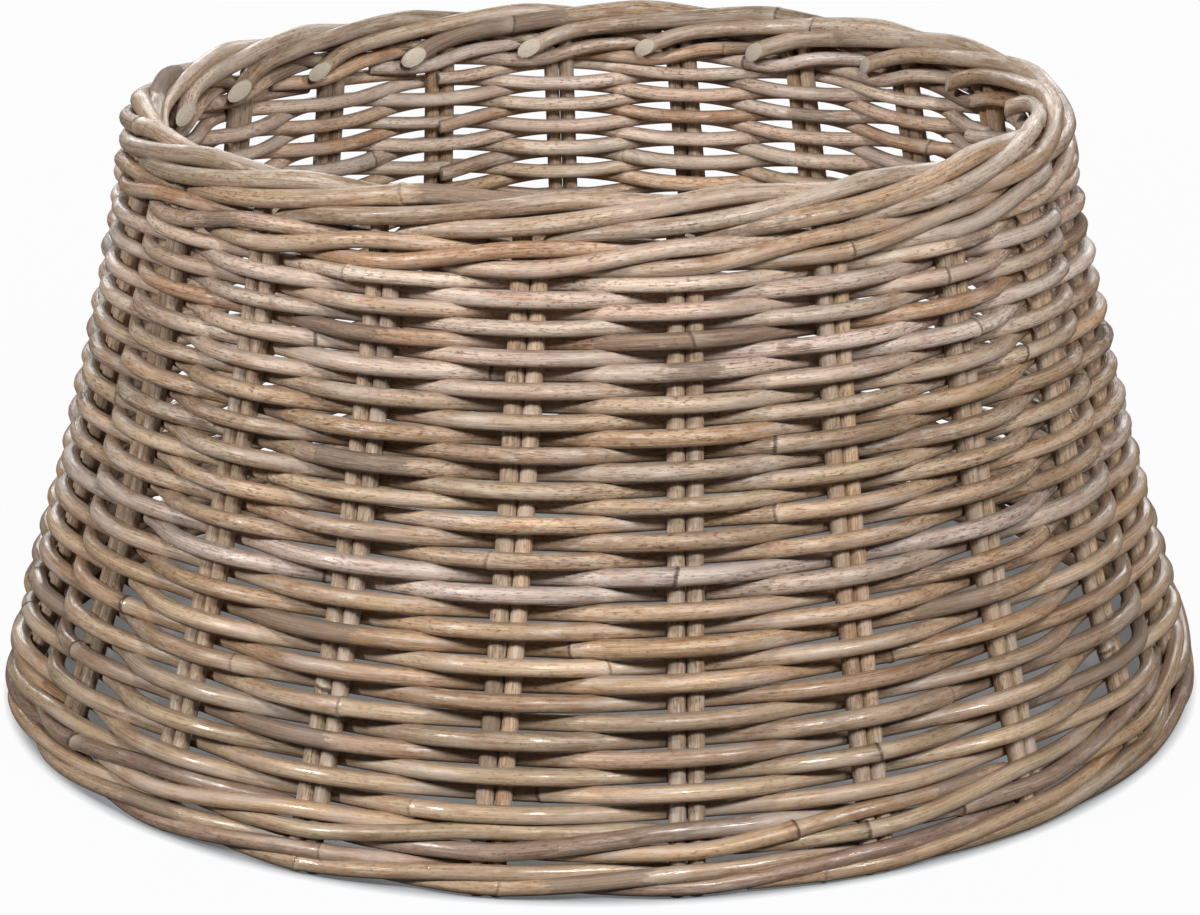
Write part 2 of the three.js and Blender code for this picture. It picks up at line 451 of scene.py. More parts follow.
def cane(name, path, radius, seed, tones, weather=STAKE_WEATHER, cut=None, painted_shade=0.0):
    """A closed tube carried along a path, which never goes below the floor.

    Rings stand square to the path, a few millimetres apart and closer at the knots. A ring's radius
    is the cane's, times a slow and a short swell, plus a bell-shaped ridge at each knot and a step
    that fades away on one side of it, times 1 plus two small waves around the ring. The ends are
    bevelled, and cut square or to the plane of the given normal.

    The skin reads the rest from attributes: the place along and across the cane, the tone, the
    distance from the nearest knot, whose ring is slanted, how strong that knot is, the bark, how
    weathered the cane is, how much painted shade darkens its low and high sides where the canes
    below and above it meet it, and whether it is a cut face.
    """
    rng = np.random.default_rng(seed)
    s_path = lengths(path)
    total = s_path[-1]
    gaps = rng.uniform(*KNOT_SPACING, int(total / KNOT_SPACING[0]) + 3)
    knot_at = np.cumsum(gaps) - rng.uniform(0, KNOT_START)
    knot_at = knot_at[(knot_at > KNOT_MARGIN) & (knot_at < total - KNOT_MARGIN)]
    s = ring_places(total, total - (OVAL_CUT if cut is not None else BEVEL), knot_at)
    centre, ahead, outward, across = directions(path, s_path, s)

    thick = np.interp(s, s_path, radius) if np.ndim(radius) else np.full(len(s), float(radius))
    thick = thick * (1 + waver(rng, s, *SLOW_SWELL) + waver(rng, s, *SHORT_SWELL))
    angle = np.arange(SIDES) / SIDES * 2 * math.pi
    if len(knot_at):
        gap = s[:, None] - knot_at[None, :]
        near = np.abs(gap).argmin(axis=1)
        knot_gap = gap[np.arange(len(s)), near]
        height = rng.uniform(*KNOT_RIDGE, len(knot_at))[near]
        side = rng.choice([-1, 1], len(knot_at))[near]
        thick += height * np.exp(-0.5 * knot_gap**2)
        fade = np.exp(-np.abs(knot_gap) / KNOT_FADE)
        thick += KNOT_STEP * height * fade * (knot_gap * side > 0)
        strength = rng.uniform(*KNOT_MARK, len(knot_at))[near]
        slant = rng.uniform(*KNOT_SLANT, len(knot_at))[near]
        turned = rng.uniform(0, ANY_TURN, len(knot_at))[near]
        knot_gap = knot_gap[:, None] + slant[:, None] * np.cos(angle[None, :] + turned[:, None])
    else:
        knot_gap = np.full((len(s), SIDES), NO_KNOT)
        strength = np.zeros(len(s))

    phase = s[:, None] * TWIST + rng.uniform(0, ANY_TURN)
    oval = OVAL * np.cos(2 * angle[None, :] + phase)
    shape = 1 + oval + THREE_SIDED * np.cos(3 * angle[None, :] - 2 * phase)
    ring = thick[:, None] * shape
    cosine = np.cos(angle)[None, :, None]
    sine = np.sin(angle)[None, :, None]
    offset = ring[:, :, None] * (cosine * outward[:, None, :] + sine * across[:, None, :])
    if cut is not None:
        normal = ahead[-1] * CUT_AHEAD + np.asarray(cut)
        normal /= np.linalg.norm(normal)
        lean = -(offset[-1] @ normal) / (ahead[-1] @ normal)
        offset[-1] += lean[:, None] * ahead[-1][None, :]
    points = centre[:, None, :] + offset
    before = centre[0] - ahead[0] * BEVEL
    beyond = centre[-1] + ahead[-1] * BEVEL
    vertices = np.concatenate(
        [
            before[None],
            before + offset[0] * BEVEL_SHARE,
            points.reshape(-1, 3),
            beyond + offset[-1] * BEVEL_SHARE,
            beyond[None],
        ]
    )
    vertices[:, 2] = np.maximum(vertices[:, 2], 0)
    rings = len(s) + 2
    mesh = tube_mesh(name, vertices, rings)

    def attribute(label, kind, field, values):
        """Gives the mesh one attribute, with a value for each vertex."""
        mesh.attributes.new(label, kind, "POINT").data.foreach_set(field, values.ravel())

    along = per_vertex(s * MM + GRAIN_STEP * (seed % GRAIN_PLACES))
    spin = np.concatenate([[0], np.tile(angle, rings), [0]])
    wide = per_vertex(thick * MM)
    wide[0] = wide[-1] = 0
    grain = np.stack([along, wide * np.cos(spin), wide * np.sin(spin)], axis=1)
    attribute("grain", "FLOAT_VECTOR", "vector", grain.astype(np.float32))
    rgba = np.concatenate([tones(s, rng), np.ones((len(s), 1))], axis=1)
    attribute("tone", "FLOAT_COLOR", "color", per_vertex(rgba))
    poles = np.full(SIDES + 1, NO_KNOT)
    around = np.concatenate([poles, knot_gap.ravel(), poles]).astype(np.float32)
    attribute("knot_gap", "FLOAT", "value", around)
    attribute("knot_strength", "FLOAT", "value", per_vertex(strength))
    patch = waver(rng, s, *BARK_SHORT) - BARK_LESS + waver(rng, s, *BARK_LONG)
    attribute("bark", "FLOAT", "value", per_vertex(np.clip(patch, 0, 1)))
    worn = np.interp(s, s_path, weather) if np.ndim(weather) else np.full(len(s), weather)
    attribute("weathered", "FLOAT", "value", per_vertex(worn))
    # Painted shade: the low side of a cane, and to a lesser degree its high side, is darkened where
    # the canes below and above shade it.
    low_side_shade = ramp(np.sin(spin), *LOW_SIDE_SHADE)
    high_side_shade = ramp(-np.sin(spin), *HIGH_SIDE_SHADE)
    shaded = painted_shade * (low_side_shade + HIGH_SHADE * high_side_shade)
    attribute("painted_shade", "FLOAT", "value", shaded.astype(np.float32))
    face = np.zeros(len(vertices), dtype=np.float32)
    face[: SIDES + 1] = 1
    face[-SIDES - 1 :] = 1
    attribute("cut_face", "FLOAT", "value", face)

    piece = bpy.data.objects.new(name, mesh)
    bpy.context.scene.collection.objects.link(piece)
    return piece


def place(piece, node, slot, material):
    """Puts a cane in the place of its plain solid, on the collar's one body."""
    piece.data.materials.append(material)
    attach(piece, "root")
    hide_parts(node)


def blended(names):
    """Tones along a cane: a slow walk between the named tones, with a lighter and darker drift."""
    colours = np.array([linear(n) for n in names])

    def tones(s, rng):
        """The colour at each place along the cane."""
        walk = (drift(rng, s, TONE_WALK) * 0.5 + 0.5) * (len(colours) - 1)
        low = np.clip(np.floor(walk).astype(int), 0, len(colours) - 1)
        high = np.minimum(low + 1, len(colours) - 1)
        mix = (walk - low)[:, None]
        colour = colours[low] * (1 - mix) + colours[high] * mix
        light = 1 + TONE_SPREAD * (waver(rng, s, *TONE_SHORT) + waver(rng, s, *TONE_LONG))
        return np.clip(colour * light[:, None], *TONE_LIMITS)

    return tones


# Skins --------------------------------------------------------------------------------------

# Colours of the marks, as linear RGB.
WARM_TINT = (0.66, 0.5, 0.4, 1)
PALE_FILM = (0.6, 0.5, 0.43, 1)
FRECKLE_TINT = (0.46, 0.34, 0.27, 1)
SCUFF = (0.7, 0.6, 0.5, 1)
DARK_MARK = (0.12, 0.075, 0.05, 1)
BARK_DARK = (0.07, 0.042, 0.03, 1)
BARK_LIGHT = (0.36, 0.26, 0.19, 1)
KNOT_PALE = (0.62, 0.52, 0.41, 1)
KNOT_SMEAR = (0.12, 0.075, 0.06, 1)
KNOT_RING = (0.06, 0.036, 0.026, 1)
WOOD_DARK = (0.47, 0.4, 0.31, 1)
WOOD_LIGHT = (0.62, 0.54, 0.45, 1)
# Dark tint of the painted shade on the low and high sides of a cane.
PAINTED_SHADE_TINT = (0.16, 0.12, 0.09, 1)

# Values of a noise at which each mark begins and is full.
SHOWS = {
    "warm": (0.48, 0.66),
    "film": (0.5, 0.66),
    "freckle": (0.53, 0.66),
    "scuff": (0.54, 0.66),
    "dot": (0.0, 0.07),
    "line": (0.68, 0.76),
    "bark": (0.0, 0.12),
    "pore": (0.3, 0.6),
}

# Ranges of a noise, and the values that they are carried over to: how light the clouds make the
# skin, how they crowd the dark dots, and where the film clears the freckles.
FIBRE_RANGE = (0.25, 0.75)
CLOUD_LIGHT = (0.3, 0.7, 0.84, 1.12)
DOT_CROWD = (0.38, 0.66, 0.09, -0.05)
DOT_LEVEL = 0.64
FRECKLE_CLEAR = (0.4, 0.62, 0.9, 0.2)
LINES_IN_BARK = 0.2
BARK_REACH = 0.95

# What a smooth and a weathered cane have of the dark marks, the freckles and the scuffs.
MARKS_BY_WEATHER = (0.15, 0.5)
FRECKLES_BY_WEATHER = (0.6, 1)
SCUFFS_BY_WEATHER = (0.2, 0.5)

# A knot, in millimetres: its ragged ring, the smear before it and the pale skin after it.
KNOT_RAGGED = 1.5
RING_EDGE = 0.3
RING_WIDTH = 0.45
SMEAR_START = (-8, -1)
SMEAR_END = (-0.4, 0.2)
SMEAR_KNOTS = (0.6, 1)
SMEAR_STREAKS = (0.4, 0.6)
PALE_START = (0.3, 1.0)
PALE_END = (2, 11)

# How far each mark covers the colour.
WARM_SHARE = 0.8
FILM_SHARE = 0.5
BARK_SHARE = 0.7
PALE_SHARE = 0.35
SMEAR_SHARE = 0.65
# How far the painted shade on a cane's low and high sides covers the colour.
PAINTED_SHADE_SHARE = 0.75

# Roughness: how mottles and fibres carry it from below the gloss to above it, that of bark and of
# cut wood, and what full weathering adds.
SHEEN_PARTS = (0.6, 0.4)
SHEEN_RANGE = (0.4, 0.6)
GLOSS_BELOW = 0.1
GLOSS_ABOVE = 0.26
BARK_ROUGH = 0.72
WOOD_ROUGH = 0.8
WEATHER_ROUGH = 0.1
CANE_IOR = 1.52

# Height of each mark in the relief, the relief's depth in metres, and its share on a smooth cane.
FIBRE_RELIEF = 0.7
MOTTLE_RELIEF = 0.9
MARK_RELIEF = 0.5
FLAKE_RELIEF = 1.2
RING_RELIEF = 0.9
RELIEF_DEPTH = 0.0005
SMOOTH_RELIEF = 0.3


def rattan(name, fibre, speck, gloss, bump, knot_dark=0.85):
    """Cane skin, laid along each cane.

    The colour is the cane's own tone, times lengthwise fibres, clouds and warm mottles. Over it go
    a pale film, freckles, scuffs, dark dots and lines, patches of bark and the knots' rings, a
    painted shade on the low and high sides, and wood on the cut faces. A weathered cane has more
    of the freckles, scuffs, dots and lines, and is rougher and more deeply grained.
    """
    material = bpy.data.materials.new(name)
    material.use_nodes = True
    tree = material.node_tree
    nodes, links = tree.nodes, tree.links
    shader = nodes["Principled BSDF"]

    def put(socket, value):
        """Links a socket to another one, or sets it to a constant."""
        if isinstance(value, bpy.types.NodeSocket):
            links.new(value, socket)
        else:
            socket.default_value = value

    def attribute(label):
        """A node that reads an attribute of the cane."""
        n = nodes.new("ShaderNodeAttribute")
        n.attribute_name = label
        return n

    def math_node(kind, a, b=0.0):
        """One step of arithmetic."""
        n = nodes.new("ShaderNodeMath")
        n.operation = kind
        put(n.inputs[0], a)
        put(n.inputs[1], b)
        return n.outputs[0]

    def times(a, b):
        """The product of two values."""
        return math_node("MULTIPLY", a, b)

    def plus(a, b):
        """The sum of two values."""
        return math_node("ADD", a, b)

    def minus(a, b):
        """The first value less the second."""
        return math_node("SUBTRACT", a, b)

    def larger(a, b):
        """The larger of two values."""
        return math_node("MAXIMUM", a, b)

    def noise(along, across, detail, rough):
        """Noise over the cane, with its scales for each metre along and across it."""
        n = nodes.new("ShaderNodeVectorMath")
        n.operation = "MULTIPLY"
        put(n.inputs[0], grain)
        n.inputs[1].default_value = (along, across, across)
        t = nodes.new("ShaderNodeTexNoise")
        put(t.inputs["Vector"], n.outputs[0])
        t.inputs["Scale"].default_value = 1
        t.inputs["Detail"].default_value = detail
        t.inputs["Roughness"].default_value = rough
        return t.outputs[0]

    def ranged(value, low, high, to_low=0.0, to_high=1.0):
        """The value carried by a smooth step from one range over to another."""
        n = nodes.new("ShaderNodeMapRange")
        n.interpolation_type = "SMOOTHSTEP"
        put(n.inputs[0], value)
        for i, v in enumerate((low, high, to_low, to_high)):
            put(n.inputs[i + 1], v)
        return n.outputs[0]

    def mixed(kind, factor, a, b):
        """Two colours mixed in one of the ways of a mix node."""
        n = nodes.new("ShaderNodeMix")
        n.data_type = "RGBA"
        n.blend_type = kind
        put(n.inputs[0], factor)
        put(n.inputs[6], a)
        put(n.inputs[7], b)
        return n.outputs[2]

    def tinted(under, factor, tint):
        """A colour multiplied by a tint, as far as the factor says."""
        return mixed("MULTIPLY", factor, under, tint)

    def covered(under, factor, paint):
        """A colour covered by another one, as far as the factor says."""
        return mixed("MIX", factor, under, paint)

    def grey(value):
        """A grey of the given value."""
        n = nodes.new("ShaderNodeCombineColor")
        for i in range(3):
            put(n.inputs[i], value)
        return n.outputs[0]

    grain = attribute("grain").outputs["Vector"]
    tone = attribute("tone").outputs["Color"]
    knot_gap = attribute("knot_gap").outputs["Fac"]
    knot_strength = attribute("knot_strength").outputs["Fac"]
    bark = attribute("bark").outputs["Fac"]
    cut_face = attribute("cut_face").outputs["Fac"]
    weathered = attribute("weathered").outputs["Fac"]

    def by_weather(smooth, worn):
        """A value that goes from one for a smooth cane to another for a weathered one."""
        return ranged(weathered, 0, 1, smooth, worn)

    marked = by_weather(*MARKS_BY_WEATHER)
    speckled = by_weather(*FRECKLES_BY_WEATHER)

    fibres = noise(along=22, across=1500, detail=4, rough=0.6)
    mottle = noise(along=48, across=260, detail=5, rough=0.62)
    clouds = noise(along=13, across=55, detail=3, rough=0.5)
    film = noise(along=24, across=150, detail=4, rough=0.6)
    flecks = noise(along=300, across=2000, detail=2, rough=0.5)
    splinters = noise(along=62, across=1000, detail=3, rough=0.6)
    flakes = noise(along=120, across=380, detail=5, rough=0.68)
    freckles = noise(along=330, across=900, detail=3, rough=0.6)
    wear = noise(along=75, across=420, detail=4, rough=0.65)

    colour = tinted(tone, 1, grey(ranged(fibres, *FIBRE_RANGE, 1 - fibre, 1 + fibre)))
    colour = tinted(colour, 1, grey(ranged(clouds, *CLOUD_LIGHT)))
    colour = tinted(colour, times(ranged(mottle, *SHOWS["warm"]), WARM_SHARE), WARM_TINT)
    colour = covered(colour, times(ranged(film, *SHOWS["film"]), FILM_SHARE), PALE_FILM)
    spots = times(ranged(freckles, *SHOWS["freckle"]), ranged(film, *FRECKLE_CLEAR))
    colour = tinted(colour, times(spots, speckled), FRECKLE_TINT)
    scuffs = times(ranged(wear, *SHOWS["scuff"]), by_weather(*SCUFFS_BY_WEATHER))
    colour = covered(colour, scuffs, SCUFF)
    crowd = ranged(clouds, *DOT_CROWD)
    dots = ranged(minus(flecks, plus(crowd, DOT_LEVEL - speck)), *SHOWS["dot"])
    colour = covered(colour, times(dots, marked), DARK_MARK)
    lines = ranged(plus(splinters, times(bark, LINES_IN_BARK)), *SHOWS["line"])
    colour = covered(colour, times(lines, marked), DARK_MARK)

    patch = ranged(minus(times(bark, BARK_REACH), flakes), *SHOWS["bark"])
    skin = covered(BARK_DARK, fibres, BARK_LIGHT)
    colour = covered(colour, times(patch, BARK_SHARE), skin)

    # A knot: pale skin on the one side of it, a dark smear on the other, and a dark ragged ring.
    wavy = plus(knot_gap, times(minus(flakes, 0.5), KNOT_RAGGED))
    edge = plus(knot_strength, RING_WIDTH)
    ring = minus(1, ranged(math_node("ABSOLUTE", wavy), RING_EDGE, edge))
    ring = times(times(ring, knot_strength), knot_dark)
    before = times(ranged(wavy, *SMEAR_START), minus(1, ranged(wavy, *SMEAR_END)))
    streaks = ranged(splinters, *SMEAR_STREAKS)
    smear = times(times(before, ranged(knot_strength, *SMEAR_KNOTS)), streaks)
    after = times(ranged(wavy, *PALE_START), minus(1, ranged(wavy, *PALE_END)))
    colour = covered(colour, times(times(after, knot_strength), PALE_SHARE), KNOT_PALE)
    colour = covered(colour, times(smear, SMEAR_SHARE), KNOT_SMEAR)
    colour = covered(colour, ring, KNOT_RING)

    pores = noise(along=2600, across=2600, detail=2, rough=0.5)
    wood = covered(WOOD_DARK, ranged(pores, *SHOWS["pore"]), WOOD_LIGHT)
    # Painted shade: the colour is darkened toward a dark tint on the cane's low and high sides.
    shade = times(attribute("painted_shade").outputs["Fac"], PAINTED_SHADE_SHARE)
    colour = covered(colour, shade, tinted(colour, 1, PAINTED_SHADE_TINT))
    colour = covered(colour, cut_face, wood)
    put(shader.inputs["Base Color"], colour)

    sheen = plus(times(mottle, SHEEN_PARTS[0]), times(fibres, SHEEN_PARTS[1]))
    rough = ranged(sheen, *SHEEN_RANGE, gloss - GLOSS_BELOW, gloss + GLOSS_ABOVE)
    rough = larger(rough, times(patch, BARK_ROUGH))
    rough = larger(rough, times(cut_face, WOOD_ROUGH))
    put(shader.inputs["Roughness"], plus(rough, times(weathered, WEATHER_ROUGH)))
    shader.inputs["IOR"].default_value = CANE_IOR

    height = plus(times(fibres, FIBRE_RELIEF), times(mottle, MOTTLE_RELIEF))
    height = minus(height, times(larger(dots, lines), MARK_RELIEF))
    height = plus(height, times(patch, times(flakes, FLAKE_RELIEF)))
    height = minus(height, times(ring, RING_RELIEF))
    relief = nodes.new("ShaderNodeBump")
    put(relief.inputs["Strength"], by_weather(SMOOTH_RELIEF * bump, bump))
    relief.inputs["Distance"].default_value = RELIEF_DEPTH
    put(relief.inputs["Height"], height)
    put(shader.inputs["Normal"], relief.outputs[0])
    return material


WEAVER_SKIN = rattan("weaver_cane_skin", fibre=0.24, speck=0.035, gloss=0.22, bump=0.8)
STAKE_SKIN = rattan(
    "stake_cane_skin", fibre=0.3, speck=0.025, gloss=0.25, bump=0.7, knot_dark=0.75
)
WALE_SKIN = rattan("wale_cane_skin", fibre=0.22, speck=0.035, gloss=0.21, bump=0.7)


# Stakes and border --------------------------------------------------------------------------


def upright(k, along, top):
    """A stake's path from the floor to its top, in short steps, always on the wall."""
    height = np.arange(0, top, PATH_STEP)
    return wall_points(k, np.append(height, top), 0.0, along)


def short_stake(k, number):
    """Short stake: straight up the wall to its level cut."""
    node = f"short_stake_{number:02d}"
    path = upright(k, SHORT_ALONG, TOP_WALE_TOP + SHORT_ABOVE_WALE)
    path[0] = path[0] + [0, 0, BEVEL]
    path[-1] = path[-1] - [0, 0, BEVEL]
    piece = cane(f"{node}_cane", path, SHORT_RADIUS, SHORT_SEED + number, blended(STAKE_TONES))
    place(piece, node, "stake_cane", STAKE_SKIN)


def border_path(k, rng):
    """A long stake's path: up the wall, then along the border run.

    The bend is eased over a short reach and the run over a longer one, and past the bend the height
    wavers a little.
    """
    run = BORDER_RUN.copy()
    run[4:, 0] += rng.uniform(-RUN_SHIFT, RUN_SHIFT)
    height = BORDER_FOOT + run[:, 2] * BORDER_LAYER
    fine = np.linspace(0, len(run) - 1, RUN_POINTS)
    index = np.arange(len(run))
    bays = np.interp(fine, index, run[:, 0])
    out = np.interp(fine, index, run[:, 1]) * BORDER_SEAT
    top = wall_points(k + bays, np.interp(fine, index, height), out, LONG_ALONG)
    whole = np.concatenate([upright(k, LONG_ALONG, TOP_WALE_TOP - BEND_BELOW_WALE), top])
    path = eased(whole, BEND_EASE)
    s = lengths(path)
    past_bend = ramp(s, *PAST_BEND)[:, None]
    path = path * (1 - past_bend) + eased(whole, RUN_EASE) * past_bend
    path[:, 2] += waver(rng, s, *RUN_WAVER) * past_bend[:, 0]
    path[0] = path[0] + [0, 0, BEVEL]
    return path


def long_stake(k, number):
    """Long stake: up the wall and round the border as one bent cane, thickest near the crest.

    Past the bend its tones turn into the border's, and its end is cut to an oval that looks inward
    and a little up.
    """
    node = f"long_stake_{number:02d}"
    rng = np.random.default_rng(RUN_SEED + number)
    path = border_path(k, rng)
    s = lengths(path)
    thick = LONG_RADIUS + rng.uniform(*THICKER_BY) * ramp(s, *THICKER_FROM)
    crest = s[np.argmax(path[:, 2])]
    thick += CREST_SWELL * np.exp(-(((s - crest + CREST_AHEAD) / CREST_SPREAD) ** 2))
    inward = -path[-1] * [1, 1, 0]
    inward /= np.linalg.norm(inward)
    cut = inward * CUT_INWARD + np.array([0, 0, CUT_UP])
    stake = blended(STAKE_TONES)
    border = blended([BORDER_TONES[i] for i in rng.permutation(len(BORDER_TONES))[:3]])

    def tones(at, r):
        """The stake's tones, fading into the border's over the bend."""
        mix = ramp(at, *BORDER_TONES_FROM)[:, None]
        return stake(at, r) * (1 - mix) + border(at, r) * mix

    piece = cane(f"{node}_cane", path, thick, LONG_SEED + number, tones, cut=cut)
    place(piece, node, "stake_cane", STAKE_SKIN)


for k in range(PAIRS):
    long_stake(k, k + 1)
    short_stake(k, k + 1)


# Weavers ------------------------------------------------------------------------------------


def sway(q):
    """In front of odd pairs and behind even ones, level at each.

    Between two pairs it is a bent beam's curve, 1 - 6 t t + 4 t t t.
    """
    pair = np.floor(q)
    t = ramp(q - pair, SWAY_REST, 1 - 2 * SWAY_REST)
    return np.where(pair % 2 == 1, 1, -1) * (1 - 6 * t**2 + 4 * t**3)


def weaver_tones(s_path, rounds):
    """Tones along a weaver, from its distances and the rounds at them.

    They are parts of the round's own tone and of the middle round's, mixed with a drifting share of
    loose tones, times a light that grows with the height, and averaged over a bell curve.
    """
    colours = np.array([linear(n) for n in ROUND_TONES])

    def tones(s, rng):
        """The colour at each place along the cane."""
        where = np.interp(s, s_path, rounds) - 0.5
        middle = np.clip(np.round(np.mean(where)), 0, ROUNDS - 1).astype(int)
        here = np.clip(np.floor(where + 0.5).astype(int), 0, ROUNDS - 1)
        named = colours[here] * OWN_ROUND + colours[middle] * MIDDLE_ROUND
        loose = blended(WEAVER_TONES)(s, rng)
        share = np.clip(LOOSE_SHARE + waver(rng, s, *LOOSE_WAVER), 0, 1)[:, None]
        light = FOOT_LIGHT + LIGHT_GAIN * np.mean(rounds) / ROUNDS
        light = light * (1 + waver(rng, s, *LIGHT_WAVER))
        colour = (named * (1 - share) + loose * share) * light[:, None]
        bell = np.exp(-0.5 * (np.arange(-BLEND_RINGS, BLEND_RINGS + 1) / BLEND_REACH) ** 2)
        bell = bell / bell.sum()
        padded = np.pad(colour, ((BLEND_RINGS, BLEND_RINGS), (0, 0)), mode="edge")
        return np.stack([np.convolve(padded[:, c], bell, "valid") for c in range(3)], 1)

    return tones


def weaver(number):
    """The canes of one weaver, laid end to end, each thicker at one end than at the other.

    A cane sways between the outside and the inside of the pairs, by the stake's reach and its own
    radius. Its last end turns in and down, and lies inside the start of the next one. The higher it
    lies, the more weathered it is.
    """
    node = f"weaver_{number:02d}"
    span = ROUNDS * PAIRS // WEAVERS
    first = (number - 1) * span
    rng = np.random.default_rng(JOIN_SEED + number)
    inner = [bay + 2 * rng.integers(-2, 3) for bay in JOIN_BAYS]
    joins = [0, *(PHOTO_JOINS if number == PHOTO_WEAVER else inner), span]
    for i, (start, end) in enumerate(zip(joins[:-1], joins[1:])):
        seed = WEAVER_SEED + 10 * number + i
        r = np.random.default_rng(seed)
        late = PHOTO_LATE if (number, i) == (PHOTO_WEAVER, 1) else -r.uniform(*START_EARLY)
        last = first + end + r.uniform(*END_LATE)
        q = np.linspace(first + start + late, last, (end - start) * STEPS_PER_BAY)
        rounds = q / PAIRS
        diameter = weaver_diameter(rounds) / np.cos(wall_lean(weaver_height(rounds)))
        middle = MIDDLE_SWELL * ramp(rounds, 0, MIDDLE_ROUNDS)
        diameter = diameter * (WEAVER_SWELL + middle + TOP_SWELL * ramp(rounds, *TOP_ROUNDS))
        butt = r.uniform(*BUTT) * r.choice([-1, 1])
        spread = r.uniform(-CANE_SPREAD, CANE_SPREAD)
        diameter = diameter * (1 + butt * np.linspace(-1, 1, len(q)) + spread)
        seat = (STAKE_REACH + diameter / 2) * (1 - SEAT_LOSS * rounds / ROUNDS)
        tip = ramp(q - (first + end) + TIP_LENGTH, 0, TIP_LENGTH)
        if end == span and number == WEAVERS:
            tip = 0
        height = weaver_height(rounds) + waver(r, q, *HEIGHT_WAVER) - TIP_DROP * tip
        out = sway(q) * seat - TIP_TURN * tip**2 + waver(r, q, *OUT_WAVER)
        path = wall_points(BACK_PAIR + q, height, out, 0.0)
        tones = weaver_tones(lengths(path), rounds)
        gain = (rounds - WEATHER_FROM) / WEATHER_ROUNDS
        weather = WEAVER_WEATHER + gain + waver(r, q, *WEATHER_WAVER)
        weather = np.clip(weather, LEAST_WEATHER, 1)
        label = f"{node}_cane_{i + 1}"
        piece = cane(label, path, diameter / 2, seed, tones, weather, painted_shade=WEAVER_PAINTED_SHADE)
        place(piece, node, "weaver_cane", WEAVER_SKIN)


for number in range(1, WEAVERS + 1):
    weaver(number)


# Wales --------------------------------------------------------------------------------------


def wale(node, seed, start, diameter, low, high, names, squeeze, weather, ends=WALE_ENDS):
    """One wale cane, once round: low before one pair, high before the next, down behind the third.

    Low and high give its two heights by the rounds, and the squeeze is the share that it keeps of
    its seat on the stakes. The ends are the bays from its first and its last pair to its own ends.
    """
    seat = (STAKE_REACH + diameter / 2) * squeeze
    edge = HALF_PAIR / (wall_radius(low(0.5)) * BAY)
    q, out, share = [ends[0]], [FIRST_OUT], [0.0]
    for pair in range(1, PAIRS):
        place_in_three = pair % 3
        side = -1 if place_in_three == 0 else 1
        q += [pair - edge, pair + edge]
        out += [side, side]
        share += [0.0 if place_in_three == 1 else 1.0, 1.0 if place_in_three == 2 else 0.0]
    q += [PAIRS - edge, PAIRS + edge, PAIRS + ends[1]]
    out += [-1, -1, LAST_OUT]
    share += [1.0, 0.0, 0.0]
    fine = np.linspace(q[0], q[-1], PAIRS * WALE_POINTS)
    rounds = (start + fine - BACK_PAIR) / PAIRS
    share = np.interp(fine, q, share)
    height = low(rounds) * (1 - share) + high(rounds) * share
    path = wall_points(start + fine, height, np.interp(fine, q, out) * seat, 0.0)
    path = eased(path, WALE_EASE)
    radius = diameter / 2 * WALE_SWELL
    label = f"{node}_cane"
    piece = cane(label, path, radius, seed, blended(names), weather, painted_shade=WALE_PAINTED_SHADE)
    place(piece, node, "wale_cane", WALE_SKIN)


FOOT_MIDDLE = FOOT_LIFT + FOOT_WALE / 2
TOP_MIDDLE = TOP_WALE_FOOT + TOP_WALE / 2

for i in range(3):
    wale(
        f"lower_foot_cane_{i + 1:02d}",
        LOWER_FOOT_SEED + i,
        i,
        FOOT_WALE,
        lambda rounds: FOOT_MIDDLE + LOWER_FOOT_LIFT[0] + 0 * rounds,
        lambda rounds: FOOT_MIDDLE + FOOT_LAYER + LOWER_FOOT_LIFT[1] + 0 * rounds,
        FOOT_TONES[i],
        squeeze=LOWER_SQUEEZE,
        weather=LOWER_FOOT_WEATHER,
    )
    wale(
        f"upper_foot_cane_{i + 1:02d}",
        UPPER_FOOT_SEED + i,
        BACK_PAIR - 2 + i,
        FOOT_WALE,
        lambda rounds: FOOT_MIDDLE + 2 * FOOT_LAYER + LOW_WEAVER * rounds / 2,
        lambda rounds: FOOT_MIDDLE + 3 * FOOT_LAYER + LOW_WEAVER * rounds,
        FOOT_TONES[(i + 1) % 3],
        squeeze=UPPER_SQUEEZE,
        weather=UPPER_FOOT_WEATHER,
    )
    wale(
        f"top_wale_cane_{i + 1:02d}",
        TOP_WALE_SEED + i,
        BACK_PAIR + i,
        TOP_WALE,
        lambda rounds: TOP_MIDDLE + HIGH_WEAVER * (rounds - 1),
        lambda rounds: TOP_MIDDLE + TOP_LAYER + TOP_HIGH_LIFT + HIGH_WEAVER * (rounds - 1) / 2,
        TOP_TONES[i],
        squeeze=1,
        weather=TOP_WALE_WEATHER,
        ends=TOP_WALE_ENDS,
    )


# Floor, light and camera --------------------------------------------------------------------

# The floor: its reach, its colours for light and for the camera, and where it turns white.
FLOOR_REACH = 6.0
FLOOR_LIT = (0.07, 0.073, 0.076, 1)
FLOOR_SEEN = (0.42, 0.44, 0.46, 1)
FLOOR_ROUGH = 0.9
FLOOR_GLOSS = 0.1
INSIDE_END = 0.279
OUTSIDE_START = 0.2855
INSIDE_WHITE = 0.12
OUTSIDE_WHITE = 0.96
WHITE = (1, 1, 1, 1)

# The sky's strength as light and as the camera sees it.
SKY_LIGHT = 0.03
SKY_SEEN = 0.96

